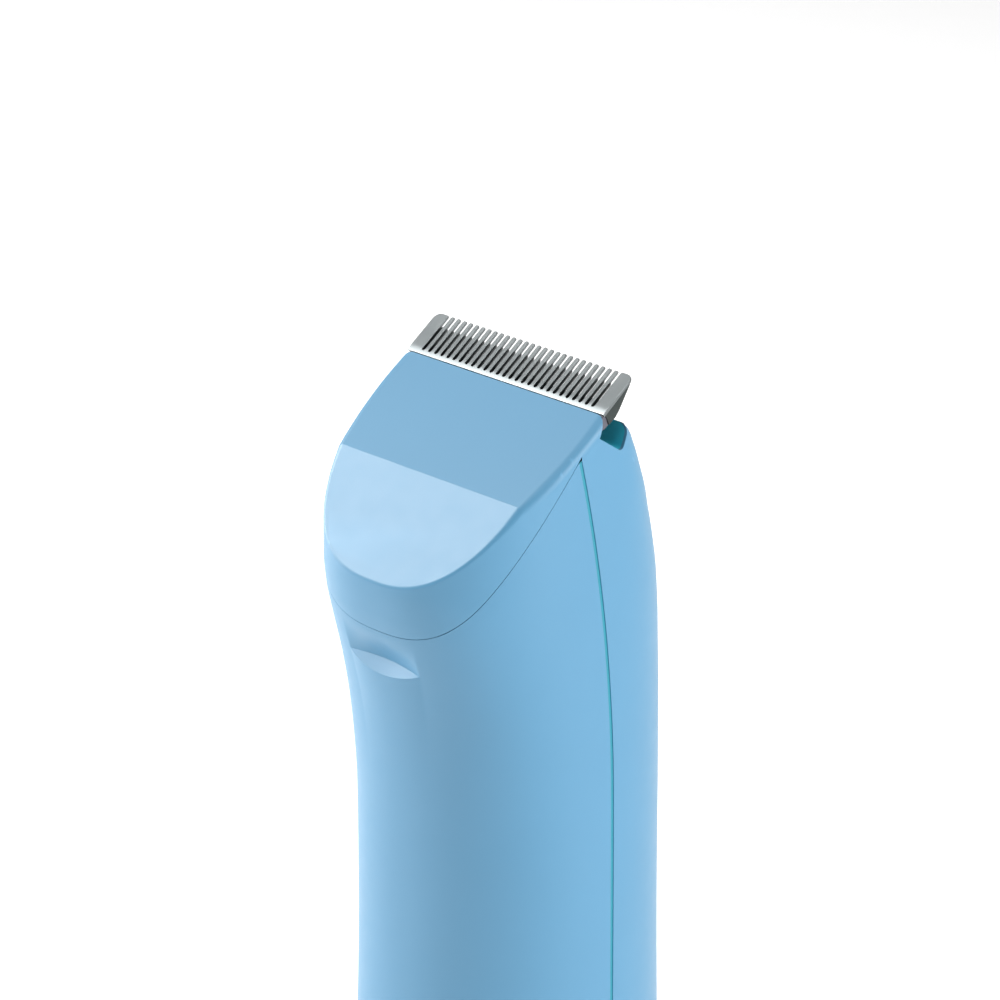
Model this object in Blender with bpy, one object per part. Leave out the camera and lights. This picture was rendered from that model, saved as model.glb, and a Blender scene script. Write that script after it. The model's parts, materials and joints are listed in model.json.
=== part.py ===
"""Cordless body groomer with a sloped nose, a steel comb blade and a soft, waisted handle.

Sizes in this file are in millimetres, and MM turns them into Blender's metres when a mesh is made.
+Z is up, the sloped nose and the power button face -Y, and the origin is the middle of the flat base.
"""
import bpy
import bmesh
from math import copysign, cos, pi, sin
from mathutils import Matrix, Vector

MM = 0.001

# --- Driving dimensions ------------------------------------------------------------------------

# Outline of the body at each height: (height, half width), (height, depth) and (height, power).
HALF_WIDTH = ((0, 20.4), (6, 21.2), (28, 21.5), (70, 20.6), (100, 20.45), (125, 20.1), (156, 19.5))
FRONT_DEPTH = (
    (0, 17.6), (6, 19.0), (28, 20.2), (60, 18.9), (72, 18.2), (84, 17.9), (98, 18.0),
    (106, 18.35), (113, 18.9), (119, 19.9), (125, 21.5), (130, 22.9), (134, 23.4), (156, 23.4),
)
REAR_DEPTH = (
    (0, 17.4), (6, 18.8), (28, 20.0), (70, 18.6), (90, 18.3), (115, 18.4), (124, 18.1),
    (131, 17.1), (137, 15.3), (143, 12.7), (148, 9.4), (151, 7.4), (153, 5.9), (154.1, 4.4),
)
FRONT_POWER = ((0, 2.4), (28, 2.2), (100, 2.2), (128, 2.6), (156, 2.6))
REAR_POWER = ((0, 2.4), (28, 2.2), (120, 2.2), (140, 2.6), (154, 4.4))
BODY_LEVELS = (
    3.3, 6, 16, 28, 46, 66, 84, 98, 107, 114, 119, 122.5, 126, 130, 134, 138, 141.5, 144.5,
    147, 149.7, 152.2, 154.1, 157,
)
CAVITY_LEVELS = (2, 6, 16, 28, 46, 66, 84, 98, 107, 114, 119, 126, 134, 141.5, 147, 149.6)
OUTER_POINTS = 40
INNER_POINTS = 28
WALL = 1.8

# The two flat facets of the nose, and the slope that the blade lies on.
ROOT_Y, ROOT_Z = -0.4, 156.0
RUN, RISE = 0.8, 0.6
FOLD_Y, FOLD_Z = -13.4, 146.25
CHIN_Y, CHIN_Z = -23.4, 134.4
NOSE_WALL = 1.3
EDGE_ROUND = 0.8

# Seam between the shells, and the parting line under the nose.
SEAM_START_Z, SEAM_TOP_Z, SEAM_LEAN = 105.0, 151.2, 5.1
PARTING_SLOPE, PARTING_CURVE = 1.25, 0.0085
SHELL_GAP, GASKET_HALF = 0.45, 0.25
GASKET_RECESS, GASKET_DEPTH = 0.3, 1.6

# Cutting head.
BLADE_HALF, BLADE_TIP, BLADE_ROOT = 18.75, 6.5, 0.15
SLOT_COUNT, SLOT_PITCH, SLOT_WIDTH, SLOT_START = 28, 1.2, 0.55, 0.6
CHEEK = 0.75
MOVING_HALF, MOVING_ROOT, MOVING_TIP = 16.95, 0.4, 5.0
STROKE = 0.8
FORK_GAP = 2.45

# Drive.
MOTOR_Y, MOTOR_HALF_X, MOTOR_HALF_Y = -4.4, 10.0, 7.7
MOTOR_BOTTOM, MOTOR_TOP = 106.2, 136.0
SHAFT_RADIUS, CAM_RADIUS, PIN_RADIUS = 1.0, 3.6, 0.75

# Electronics and power.
BOARD_BACK, BOARD_THICK, BOARD_HALF = -11.0, 1.0, 8.5
BOARD_LOW, BOARD_HIGH = 4.2, 70.0
BUTTON_Z, BUTTON_RADIUS = 52.0, 6.0
LED_Z = 38.0
SOCKET_Y, SOCKET_HALF_X, SOCKET_HALF_Y = -9.25, 4.47, 1.6
CELL_Y, CELL_RADIUS, CELL_LOW, CELL_HIGH = 3.2, 7.0, 42.5, 91.0
FRAME_BACK, FRAME_THICK, FRAME_HALF = -4.9, 1.4, 12.0
CAP_HEIGHT = 3.0
CAP_SCREW_X, CAP_SCREW_Y = 10.2, 10.6
FRAME_SCREW_HEIGHTS = (28.0, 99.0)
BOARD_SCREW_X, BOARD_SCREW_Z = 6.2, 60.0
MOTOR_SCREW_X = 6.5
PILOT_RADIUS = 1.15


# --- Materials ---------------------------------------------------------------------------------

def finish(name, colour, roughness, metallic=0.0):
    """A Principled material of one colour."""
    mat = bpy.data.materials.new(name)
    mat.use_nodes = True
    shader = mat.node_tree.nodes["Principled BSDF"]
    shader.inputs["Base Color"].default_value = (*colour, 1.0)
    shader.inputs["Roughness"].default_value = roughness
    shader.inputs["Metallic"].default_value = metallic
    return mat


def make_finishes():
    return {
        "shell_blue": finish("shell_blue", (0.21, 0.50, 0.76), 0.38),
        "teal": finish("teal", (0.03, 0.26, 0.36), 0.45),
        "steel": finish("steel", (0.42, 0.43, 0.43), 0.32, 1.0),
        "dark_steel": finish("dark_steel", (0.16, 0.17, 0.17), 0.4, 1.0),
        "carrier_grey": finish("carrier_grey", (0.06, 0.065, 0.07), 0.5),
        "rubber": finish("rubber", (0.03, 0.035, 0.04), 0.7),
        "board_green": finish("board_green", (0.02, 0.16, 0.08), 0.45),
        "chip_black": finish("chip_black", (0.015, 0.015, 0.016), 0.5),
        "frame_white": finish("frame_white", (0.62, 0.63, 0.62), 0.5),
        "cell_wrap": finish("cell_wrap", (0.05, 0.12, 0.3), 0.35),
        "foam": finish("foam", (0.08, 0.08, 0.085), 0.9),
        "copper": finish("copper", (0.6, 0.27, 0.14), 0.35, 1.0),
        "lens": finish("lens", (0.75, 0.85, 0.8), 0.15),
        "wire_red": finish("wire_red", (0.5, 0.02, 0.02), 0.5),
        "wire_black": finish("wire_black", (0.012, 0.012, 0.012), 0.5),
    }


# --- Mesh helpers ------------------------------------------------------------------------------

def make_object(name, bm, mat, smooth_angle=35):
    """A closed piece from a bmesh in millimetres."""
    bmesh.ops.recalc_face_normals(bm, faces=bm.faces)
    bmesh.ops.scale(bm, vec=(MM, MM, MM), verts=bm.verts)
    mesh = bpy.data.meshes.new(name)
    bm.to_mesh(mesh)
    bm.free()
    if mat:
        mesh.materials.append(mat)
    piece = bpy.data.objects.new(name, mesh)
    bpy.context.scene.collection.objects.link(piece)
    shade(piece, smooth_angle)
    return piece


def shade(piece, smooth_angle=35):
    piece.data.shade_smooth()
    piece.data.set_sharp_from_angle(angle=smooth_angle * pi / 180)


def loft(name, rings, mat=None):
    """A solid through rings that have the same number of points, closed at both ends."""
    bm = bmesh.new()
    rows = [[bm.verts.new(p) for p in ring] for ring in rings]
    count = len(rings[0])
    for low, high in zip(rows, rows[1:]):
        for i in range(count):
            j = (i + 1) % count
            bm.faces.new((low[i], low[j], high[j], high[i]))
    bm.faces.new(rows[0])
    bm.faces.new(rows[-1])
    return make_object(name, bm, mat)


def prism(name, outline, low, high, mat=None, axis="x"):
    """An outline pushed from low to high. Outlines are (y, z) on x, (x, z) on y and (x, y) on z."""
    place = {"x": lambda p, t: (t, p[0], p[1]), "y": lambda p, t: (p[0], t, p[1]),
             "z": lambda p, t: (p[0], p[1], t)}[axis]
    return loft(name, [[place(p, t) for p in outline] for t in (low, high)], mat)


def box(name, low, high, mat=None):
    corners = ((low[0], low[1]), (high[0], low[1]), (high[0], high[1]), (low[0], high[1]))
    return prism(name, corners, low[2], high[2], mat, "z")


def turned(name, profile, centre, axis, mat=None, points=20):
    """A round piece from a closed profile of (radius, distance along the axis)."""
    turn = Vector((0, 0, 1)).rotation_difference(Vector(axis)).to_matrix()
    bm = bmesh.new()
    columns = []
    for k in range(points):
        angle = 2 * pi * (k + 0.5) / points
        spots = [Vector((r * cos(angle), r * sin(angle), d)) for r, d in profile]
        columns.append([turn @ s + Vector(centre) for s in spots])
    verts = [[bm.verts.new(p) for p in column] for column in columns]
    for k in range(points):
        here, there = verts[k], verts[(k + 1) % points]
        for i in range(len(profile)):
            j = (i + 1) % len(profile)
            bm.faces.new((here[i], there[i], there[j], here[j]))
    bmesh.ops.remove_doubles(bm, verts=bm.verts, dist=1e-5)
    bmesh.ops.dissolve_degenerate(bm, dist=1e-6, edges=bm.edges)
    loose = [edge for edge in bm.edges if not edge.link_faces]
    bmesh.ops.delete(bm, geom=loose, context="EDGES")
    return make_object(name, bm, mat)


def rod(name, start, axis, radius, length, mat=None, points=20):
    return turned(name, ((0, 0), (radius, 0), (radius, length), (0, length)), start, axis, mat, points)


def tube(name, start, axis, inner, outer, length, mat=None, points=20):
    profile = ((inner, 0), (outer, 0), (outer, length), (inner, length))
    return turned(name, profile, start, axis, mat, points)


def rounded(half_x, half_y, radius, centre=(0, 0), steps=4):
    """Points of a rectangle with round corners."""
    outline = []
    for turn, sx, sy in ((0, 1, 1), (1, -1, 1), (2, -1, -1), (3, 1, -1)):
        for k in range(steps + 1):
            angle = (turn + k / steps) * pi / 2
            x = centre[0] + sx * (half_x - radius) + radius * cos(angle)
            y = centre[1] + sy * (half_y - radius) + radius * sin(angle)
            outline.append((x, y))
    return outline


def combine(piece, tool, operation, solver="EXACT"):
    """Apply a Boolean with another object, which is used up."""
    mod = piece.modifiers.new(operation.lower(), "BOOLEAN")
    mod.object = tool
    mod.operation = operation
    mod.solver = solver
    mesh = bpy.data.meshes.new_from_object(piece.evaluated_get(bpy.context.evaluated_depsgraph_get()))
    piece.modifiers.clear()
    piece.data = mesh
    bpy.data.objects.remove(tool)
    shade(piece)
    return piece


def cut(piece, *tools):
    for tool in tools:
        combine(piece, tool, "DIFFERENCE")
    return piece


def fuse(piece, *tools):
    for tool in tools:
        combine(piece, tool, "UNION")
    return piece


def keep(piece, tool):
    return combine(piece, tool, "INTERSECT")


# --- Body surface ------------------------------------------------------------------------------

def smooth_through(points, at):
    """A curve through (position, value) points that never overshoots them."""
    spots = [p[0] for p in points]
    values = [p[1] for p in points]
    if at <= spots[0]:
        return values[0]
    if at >= spots[-1]:
        return values[-1]
    spans = [b - a for a, b in zip(spots, spots[1:])]
    rates = [(b - a) / s for a, b, s in zip(values, values[1:], spans)]
    slopes = [0.0]
    for i in range(1, len(spans)):
        before, after = rates[i - 1], rates[i]
        weight_a = 2 * spans[i] + spans[i - 1]
        weight_b = spans[i] + 2 * spans[i - 1]
        same_way = before * after > 0
        total = weight_a + weight_b
        slopes.append(total / (weight_a / before + weight_b / after) if same_way else 0.0)
    slopes.append(rates[-1])
    i = max(k for k, s in enumerate(spots[:-1]) if s <= at)
    t = (at - spots[i]) / spans[i]
    start = (2 * t**3 - 3 * t**2 + 1) * values[i] + (t**3 - 2 * t**2 + t) * spans[i] * slopes[i]
    end = (3 * t**2 - 2 * t**3) * values[i + 1] + (t**3 - t**2) * spans[i] * slopes[i + 1]
    return start + end


def section(z, inset, count):
    """The body's outline at a height: two half super-ellipses that share their width."""
    half = smooth_through(HALF_WIDTH, z) - inset
    ring = []
    for k in range(count):
        angle = 2 * pi * k / count
        c, s = cos(angle), sin(angle)
        depth = smooth_through(FRONT_DEPTH if s < 0 else REAR_DEPTH, z) - inset
        power = 2 / smooth_through(FRONT_POWER if s < 0 else REAR_POWER, z)
        ring.append((half * copysign(abs(c)**power, c), depth * copysign(abs(s)**power, s), z))
    return ring


def body(inset, levels, count, name="body"):
    return loft(name, [section(z, inset, count) for z in levels])


def slope(u, n):
    """Side view place of a point u along the blade's slope and n above it, from the blade's root."""
    return (ROOT_Y + RUN * u - RISE * n, ROOT_Z + RISE * u + RUN * n)


def above_facets(lift):
    """Everything over the nose's two facets, moved off them by lift."""
    run, rise = FOLD_Y - CHIN_Y, FOLD_Z - CHIN_Z
    long = (run**2 + rise**2)**0.5
    low = (CHIN_Y - rise / long * lift, CHIN_Z + run / long * lift)
    steep = rise / run
    upper = slope(0, lift)
    # The two raised facets meet where their lines cross.
    fold_y = (upper[1] - low[1] + steep * low[0] - RISE / RUN * upper[0]) / (steep - RISE / RUN)
    fold = (fold_y, low[1] + steep * (fold_y - low[0]))
    front = (low[0] - 6, low[1] - 6 * steep)
    top = (upper[0] + 16, upper[1] + 16 * RISE / RUN)
    return prism("above_facets", (front, fold, top, (top[0], 200), (front[0], 200)), -40, 40)


def seam_y(z):
    rise = max(0.0, (z - SEAM_START_Z) / (SEAM_TOP_Z - SEAM_START_Z))
    return -SEAM_LEAN * rise**2


def parting_z(y):
    ahead = -SEAM_LEAN - y
    return SEAM_TOP_Z - PARTING_SLOPE * ahead - PARTING_CURVE * ahead**2


def front_region(gap):
    """Side outline of the space that belongs to the front shell, grown by gap."""
    steps = 9
    top = SEAM_TOP_Z + (0.4 if gap > 0 else 2.8) * gap
    lift = 1.6 * gap
    heights = [SEAM_START_Z + (top - SEAM_START_Z) * k / steps for k in range(steps + 1)]
    seam = [(seam_y(z) + gap, z) for z in heights]
    start = -SEAM_LEAN - (lift - (top - SEAM_TOP_Z)) / PARTING_SLOPE
    line = [(y, parting_z(y) + lift) for y in (start, -7.5, -11, -15, -19, -24)]
    return [(gap, -5)] + seam + line + [(-45, line[-1][1] - 26), (-45, -5)]


# --- Housing -----------------------------------------------------------------------------------

def round_nose(piece):
    """Round the rim where the facets meet the sides of the head."""
    bm = bmesh.new()
    bm.from_mesh(piece.data)
    rim = []
    for edge in bm.edges:
        if len(edge.link_faces) != 2:
            continue
        facing = [f.normal for f in edge.link_faces]
        flat = [n for n in facing if abs(n.x) < 1e-4 and n.z > 0.3 and n.y < -0.3]
        middle = (edge.verts[0].co + edge.verts[1].co) / 2 / MM
        along = abs(edge.verts[0].co.x - edge.verts[1].co.x) > 30 * MM
        if len(flat) == 1 and middle.z < ROOT_Z - 1 and not along:
            rim.append(edge)
    bmesh.ops.bevel(bm, geom=rim, offset=EDGE_ROUND * MM, segments=2, affect="EDGES", profile=0.5)
    bm.to_mesh(piece.data)
    bm.free()


def outer_body():
    piece = cut(body(0, BODY_LEVELS, OUTER_POINTS), above_facets(0))
    round_nose(piece)
    return piece


def notch_outline():
    """The V behind the blade, seen from the side: lip, tip, floor and top of the back face."""
    return [slope(-2.85, -1.3), (0.9, 151.5), (1.8, 151.15), (3.55, 153.9)]


def insert_outline():
    return notch_outline() + [(4.4, 153.3), (2.7, 150.3), (0.3, 150.4), (-2.75, 152.4)]


def notch_cutter():
    """The V and the room for the insert that lines it."""
    outline = [slope(-0.1, 4), slope(-0.1, -1.0), slope(-3.0, -1.0), (-3.1, 152.3), (0.2, 150.1),
               (2.85, 150.0), (4.7, 153.2), (4.9, 153.5), (30, 153.5), (30, 170)]
    return prism("notch", outline, -40, 40)


def stem_slot(half_width, low_u, top_n):
    """The slanted channel that the cutting head's stems slide in."""
    corners = [slope(low_u, top_n), slope(0.6, top_n), slope(0.6, -4.05), slope(low_u, -4.05)]
    return prism("slot", corners, -half_width, half_width)


def screw_boss(start, axis, length, depth):
    """A post with a blind pilot hole in its free end."""
    radius, pilot = 2.6, 1.1
    profile = ((pilot, 0), (radius, 0), (radius, length), (0, length), (0, depth), (pilot, depth))
    return turned("boss", profile, start, axis, points=12)


def make_rear_housing(mats):
    """Rear shell and head in one piece: nose facets, chin, notch and the back of the handle."""
    shell = outer_body()
    shell.name = "rear_housing"
    hollow = cut(body(WALL, CAVITY_LEVELS, INNER_POINTS), above_facets(-NOSE_WALL))
    cut(shell, hollow)
    front = prism("front", front_region(SHELL_GAP), -40, 40)
    cut(front, body(WALL + 0.4, (-8, *BODY_LEVELS), INNER_POINTS))
    combine(shell, front, "DIFFERENCE", "MANIFOLD")
    for z in FRAME_SCREW_HEIGHTS:
        reach = smooth_through(REAR_DEPTH, z) - WALL / 2 - FRAME_BACK
        fuse(shell, screw_boss((0, FRAME_BACK + 0.3, z), (0, 1, 0), reach - 0.3, 9))
    for side in (-1, 1):
        ends = sorted((side * (CAP_SCREW_X - 0.8), side * (CAP_SCREW_X + 0.8)))
        fuse(shell, box("rib", (ends[0], CAP_SCREW_Y + 1.4, 8), (ends[1], 16.5, 18)))
        fuse(shell, screw_boss((side * CAP_SCREW_X, CAP_SCREW_Y, 7.2), (0, 0, 1), 12, 10))
    cut(shell, notch_cutter(), stem_slot(17.0, -14, -1.0))
    shell.data.materials.clear()
    shell.data.materials.append(mats["shell_blue"])
    return shell


def thumb_rest():
    """The shallow dish under the chin, with a ledge at its lower end."""
    outline = ((-20.5, 120.4), (-19.4, 121.8), (-21.9, 127.4), (-30, 127.4), (-30, 120.4))
    return prism("thumb_rest", outline, -14, 14)


def make_front_housing(mats):
    """Front shell panel from the parting line to the base."""
    shell = cut(body(0, BODY_LEVELS, OUTER_POINTS), body(WALL, (-8, *BODY_LEVELS[:-1], 170), INNER_POINTS))
    shell.name = "front_housing"
    keep(shell, prism("front", front_region(-SHELL_GAP), -40, 40))
    cut(shell, thumb_rest())
    cut(shell, rod("button_hole", (0, -26, BUTTON_Z), (0, 1, 0), BUTTON_RADIUS + 1, 14, points=28))
    cut(shell, rod("led_hole", (0, -26, LED_Z), (0, 1, 0), 1.4, 14, points=12))
    shell.data.materials.clear()
    shell.data.materials.append(mats["shell_blue"])
    return shell


def make_seam_gasket(mats):
    """Teal band between the two shells, up both sides and under the nose."""
    band = cut(body(GASKET_RECESS, BODY_LEVELS, OUTER_POINTS),
               body(GASKET_DEPTH, (-8, *BODY_LEVELS[:-1], 170), INNER_POINTS))
    band.name = "seam_gasket"
    keep(band, prism("outside", front_region(GASKET_HALF), -40, 40))
    cut(band, prism("inside", front_region(-GASKET_HALF), -41, 41))
    band.data.materials.clear()
    band.data.materials.append(mats["teal"])
    return band


def make_head_insert(mats):
    """Teal liner of the notch, with the opening that the cutting head plugs into."""
    piece = prism("head_insert", insert_outline(), -30, 30)
    keep(piece, body(GASKET_RECESS, BODY_LEVELS[-10:], OUTER_POINTS))
    cut(piece, stem_slot(17.6, -8, -0.5))
    piece.data.materials.clear()
    piece.data.materials.append(mats["teal"])
    return piece


def make_bottom_cap(mats):
    """Base cap: a rounded plate with a rim that plugs into the shells."""
    rows = ((0, 1.2), (0.35, 0.55), (0.9, 0.2), (CAP_HEIGHT, 0.0))
    rings = []
    for z, inset in rows:
        rings.append([(x, y, z) for x, y, _ in section(3.3, inset, OUTER_POINTS)])
    cap = loft("bottom_cap", rings, mats["shell_blue"])
    rim = loft("rim", [[(x, y, z) for x, y, _ in section(3.3, 2.2, INNER_POINTS)] for z in (2, 6.4)])
    cut(rim, loft("bore", [[(x, y, z) for x, y, _ in section(3.3, 3.2, INNER_POINTS)] for z in (1, 8)]))
    fuse(cap, rim)
    for side in (-1, 1):
        spot = (side * CAP_SCREW_X, CAP_SCREW_Y)
        fuse(cap, rod("post", (*spot, 2), (0, 0, 1), 2.5, 4.3, points=12))
        cut(cap, rod("hole", (*spot, -1), (0, 0, 1), 1.3, 10, points=12))
        cut(cap, rod("counterbore", (*spot, -1), (0, 0, 1), 2.3, 3, points=20))
    opening = rounded(SOCKET_HALF_X + 0.3, SOCKET_HALF_Y + 0.3, 1.6, (0, SOCKET_Y))
    return cut(cap, prism("opening", opening, -1, 5, axis="z"))


def make_base_seal(mats):
    """Ring that seals the base cap's rim against the shells."""
    outer = [[(x, y, z) for x, y, _ in section(6, 1.95, INNER_POINTS)] for z in (6.6, 7.05)]
    inner = [[(x, y, z) for x, y, _ in section(6, 2.9, INNER_POINTS)] for z in (6, 8)]
    return cut(loft("base_seal", outer, mats["rubber"]), loft("bore", inner))


# --- Cutting head ------------------------------------------------------------------------------

def on_slope(x, u, n):
    y, z = slope(u, n)
    return (x, y, z)


def comb_outline(half, root, tip, slots, pitch, width, start):
    """Outline of a comb in (x, u): a straight root and slots open at the tips."""
    points = [(half, root), (half, tip)]
    for k in range(slots):
        x = ((slots - 1) / 2 - k) * pitch
        points += [(x + width / 2, tip), (x + width / 2, start), (x - width / 2, start), (x - width / 2, tip)]
    return points + [(-half, tip), (-half, root)]


def slanted_plate(name, outline, top, under, mat):
    """A plate on the blade's slope. Its faces' heights are functions of u."""
    rings = []
    for height in (under, top):
        rings.append([on_slope(x, u, height(u)) for x, u in outline])
    return loft(name, rings, mat)


def make_fixed_blade(mats):
    """Comb blade with two wedge cheeks that hold it at its ends."""
    outline = comb_outline(BLADE_HALF, BLADE_ROOT, BLADE_TIP, SLOT_COUNT, SLOT_PITCH, SLOT_WIDTH, SLOT_START)
    blade = slanted_plate("fixed_blade", outline, lambda u: 0.2, lambda u: -0.3 + 0.03 * u, mats["steel"])
    wedge = [slope(0.3, 0.0), slope(5.4, 0.0), slope(5.6, -0.2), slope(2.3, -1.55), slope(0.3, -1.65)]
    for side in (-1, 1):
        inner, outer = side * (BLADE_HALF - CHEEK), side * (BLADE_HALF - 0.05)
        fuse(blade, prism("cheek", wedge, min(inner, outer), max(inner, outer)))
    return blade


def make_moving_blade(mats):
    """Reciprocating cutter under the comb."""
    outline = comb_outline(MOVING_HALF, MOVING_ROOT, MOVING_TIP, 27, SLOT_PITCH, 0.5, 1.7)
    return slanted_plate("moving_blade", outline, lambda u: -0.46, lambda u: -0.86, mats["dark_steel"])


def slanted_box(name, x0, x1, u0, u1, n0, n1, mat=None):
    corners = [slope(u0, n0), slope(u1, n0), slope(u1, n1), slope(u0, n1)]
    return prism(name, corners, x0, x1, mat)


def make_drive_fork(mats):
    """Yoke fixed behind the moving blade, with two prongs that straddle the drive pin."""
    outline = [(4.4, 0.2), (4.4, -10.2), (FORK_GAP, -10.2), (FORK_GAP, -5.0)]
    outline += [(-x, u) for x, u in reversed(outline)]
    fork = slanted_plate("drive_fork", outline, lambda u: -2.5, lambda u: -3.8, mats["frame_white"])
    return fuse(fork, slanted_box("pad", -8, 8, -0.6, 2.2, -1.05, -3.4))


def make_blade_carrier(mats):
    """Frame of the lift-off cutting head: two stems, shoulders that rest on the insert, and a bar."""
    carrier = slanted_box("blade_carrier", -16, 16, -3.2, -1.9, -1.6, -2.3, mats["carrier_grey"])
    outline = ((13.2, 2.4), (13.2, -7.0), (16.6, -7.0), (16.6, -2.2), (18.2, -2.2), (18.2, 0.05),
               (17.7, 0.05), (17.7, 2.4))
    for side in (-1, 1):
        stem = [(side * x, u) for x, u in outline]
        fuse(carrier, slanted_plate("stem", stem, lambda u: -1.2, lambda u: -1.85, None))
    return carrier


def make_blade_spring(name, side, mats):
    """Leaf that presses the moving blade up against the comb."""
    leaf = [slope(-2.9, -1.22), slope(-1.0, -1.22), slope(0.6, -1.02), slope(2.2, -1.02),
            slope(2.2, -1.17), slope(0.6, -1.17), slope(-1.0, -1.4), slope(-2.9, -1.4)]
    ends = sorted((side * 9.6, side * 12.6))
    return prism(name, leaf, *ends, mats["steel"])


# --- Drive -------------------------------------------------------------------------------------

def motor_outline(inset):
    return rounded(MOTOR_HALF_X - inset, MOTOR_HALF_Y - inset, 5.5 - inset, (0, MOTOR_Y), 5)


def on_motor(z, dx=0.0):
    return (dx, MOTOR_Y, z)


def make_motor_can(mats):
    can = prism("motor_can", motor_outline(0), MOTOR_BOTTOM, MOTOR_TOP, mats["steel"], "z")
    cut(can, prism("bore", motor_outline(0.8), MOTOR_BOTTOM - 1, MOTOR_TOP - 0.8, axis="z"))
    fuse(can, rod("boss", on_motor(MOTOR_TOP - 0.4), (0, 0, 1), 2.6, 1.3, points=20))
    cut(can, rod("hole", on_motor(MOTOR_TOP - 2), (0, 0, 1), SHAFT_RADIUS + 0.3, 5, points=20))
    for x in (-MOTOR_SCREW_X, MOTOR_SCREW_X):
        cut(can, rod("hole", on_motor(MOTOR_TOP - 2, x), (0, 0, 1), PILOT_RADIUS, 4, points=12))
    return can


def make_motor_end_bell(mats):
    bell = prism("motor_end_bell", motor_outline(0.1), 104.9, 105.9, mats["frame_white"], "z")
    return cut(bell, rod("hole", on_motor(104), (0, 0, 1), SHAFT_RADIUS + 0.3, 4, points=20))


def make_motor_magnet(name, side, mats):
    """Curved magnet beside the armature."""
    spread, steps = 0.95, 7
    middle = 0 if side > 0 else pi
    angles = [middle + spread * (2 * k / steps - 1) for k in range(steps + 1)]
    outline = [(6.7 * cos(a), MOTOR_Y + 6.7 * sin(a)) for a in angles]
    outline += [(5.3 * cos(a), MOTOR_Y + 5.3 * sin(a)) for a in reversed(angles)]
    return prism(name, outline, 110, 130, mats["chip_black"], "z")


def make_armature(mats):
    """Three-pole core on the motor shaft."""
    outline = []
    for pole in range(3):
        middle = pole * 2 * pi / 3 + 0.3
        outline += [(2.2 * cos(middle - 1.0), 2.2 * sin(middle - 1.0))]
        outline += [(4.9 * cos(middle + a), 4.9 * sin(middle + a)) for a in (-0.8, -0.4, 0, 0.4, 0.8)]
    outline = [(x, MOTOR_Y + y) for x, y in outline]
    core = prism("motor_armature", outline, 112, 128, mats["copper"], "z")
    return cut(core, rod("bore", on_motor(111), (0, 0, 1), SHAFT_RADIUS + 0.15, 18, points=20))


def make_drive_cam(mats):
    cam = rod("drive_cam", on_motor(139.6), (0, 0, 1), CAM_RADIUS, 4.8, mats["frame_white"])
    cut(cam, rod("shaft_hole", on_motor(139), (0, 0, 1), SHAFT_RADIUS + 0.15, 2.8, points=20))
    return cut(cam, rod("pin_hole", on_motor(142.4, STROKE), (0, 0, 1), PIN_RADIUS + 0.15, 4, points=20))


def make_motor_bracket(mats):
    """Plate across the head that the motor hangs from."""
    outline = rounded(16.3, 9.0, 4, (0, MOTOR_Y))
    plate = prism("motor_bracket", outline, 137.1, 138.6, mats["frame_white"], "z")
    cut(plate, rod("hole", on_motor(136.5), (0, 0, 1), 2.9, 4))
    for x in (-MOTOR_SCREW_X, MOTOR_SCREW_X):
        cut(plate, rod("hole", on_motor(136.5, x), (0, 0, 1), PILOT_RADIUS, 4, points=12))
    return plate


# --- Electronics and power ---------------------------------------------------------------------

def make_circuit_board(mats):
    middle, half = (BOARD_LOW + BOARD_HIGH) / 2, (BOARD_HIGH - BOARD_LOW) / 2
    front = BOARD_BACK - BOARD_THICK
    outline = rounded(BOARD_HALF, half, 1.2, (0, middle), 2)
    board = prism("circuit_board", outline, front, BOARD_BACK, mats["board_green"], "y")
    for x in (-BOARD_SCREW_X, BOARD_SCREW_X):
        cut(board, rod("hole", (x, front - 1, BOARD_SCREW_Z), (0, 1, 0), 1.2, 4, points=12))
    return board


def make_tact_switch(mats):
    front = BOARD_BACK - BOARD_THICK - 0.15
    ends = ((-3, front - 1.85, BUTTON_Z - 3), (3, front, BUTTON_Z + 3))
    switch = box("tact_switch", *ends, mats["chip_black"])
    return cut(switch, rod("well", (0, front - 2.5, BUTTON_Z), (0, 1, 0), 1.9, 2.0, points=20))


def make_power_button(mats):
    """Domed button with a flange that the front shell holds in."""
    radius = BUTTON_RADIUS
    profile = ((0, 0), (2.2, 0.03), (4.4, 0.2), (5.5, 0.5), (radius, 1.0), (radius, 4.2), (7.8, 4.2),
               (7.8, 4.8), (1.8, 4.8), (1.8, 5.15), (0, 5.15))
    return turned("power_button", profile, (0, -20.1, BUTTON_Z), (0, 1, 0), mats["shell_blue"], 32)


def make_charging_socket(mats):
    outer = rounded(SOCKET_HALF_X, SOCKET_HALF_Y, 1.4, (0, SOCKET_Y))
    inner = rounded(SOCKET_HALF_X - 0.3, SOCKET_HALF_Y - 0.3, 1.1, (0, SOCKET_Y))
    socket = prism("charging_socket", outer, 0.8, 8.2, mats["steel"], "z")
    return cut(socket, prism("mouth", inner, 0, 7.8, axis="z"))


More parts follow.
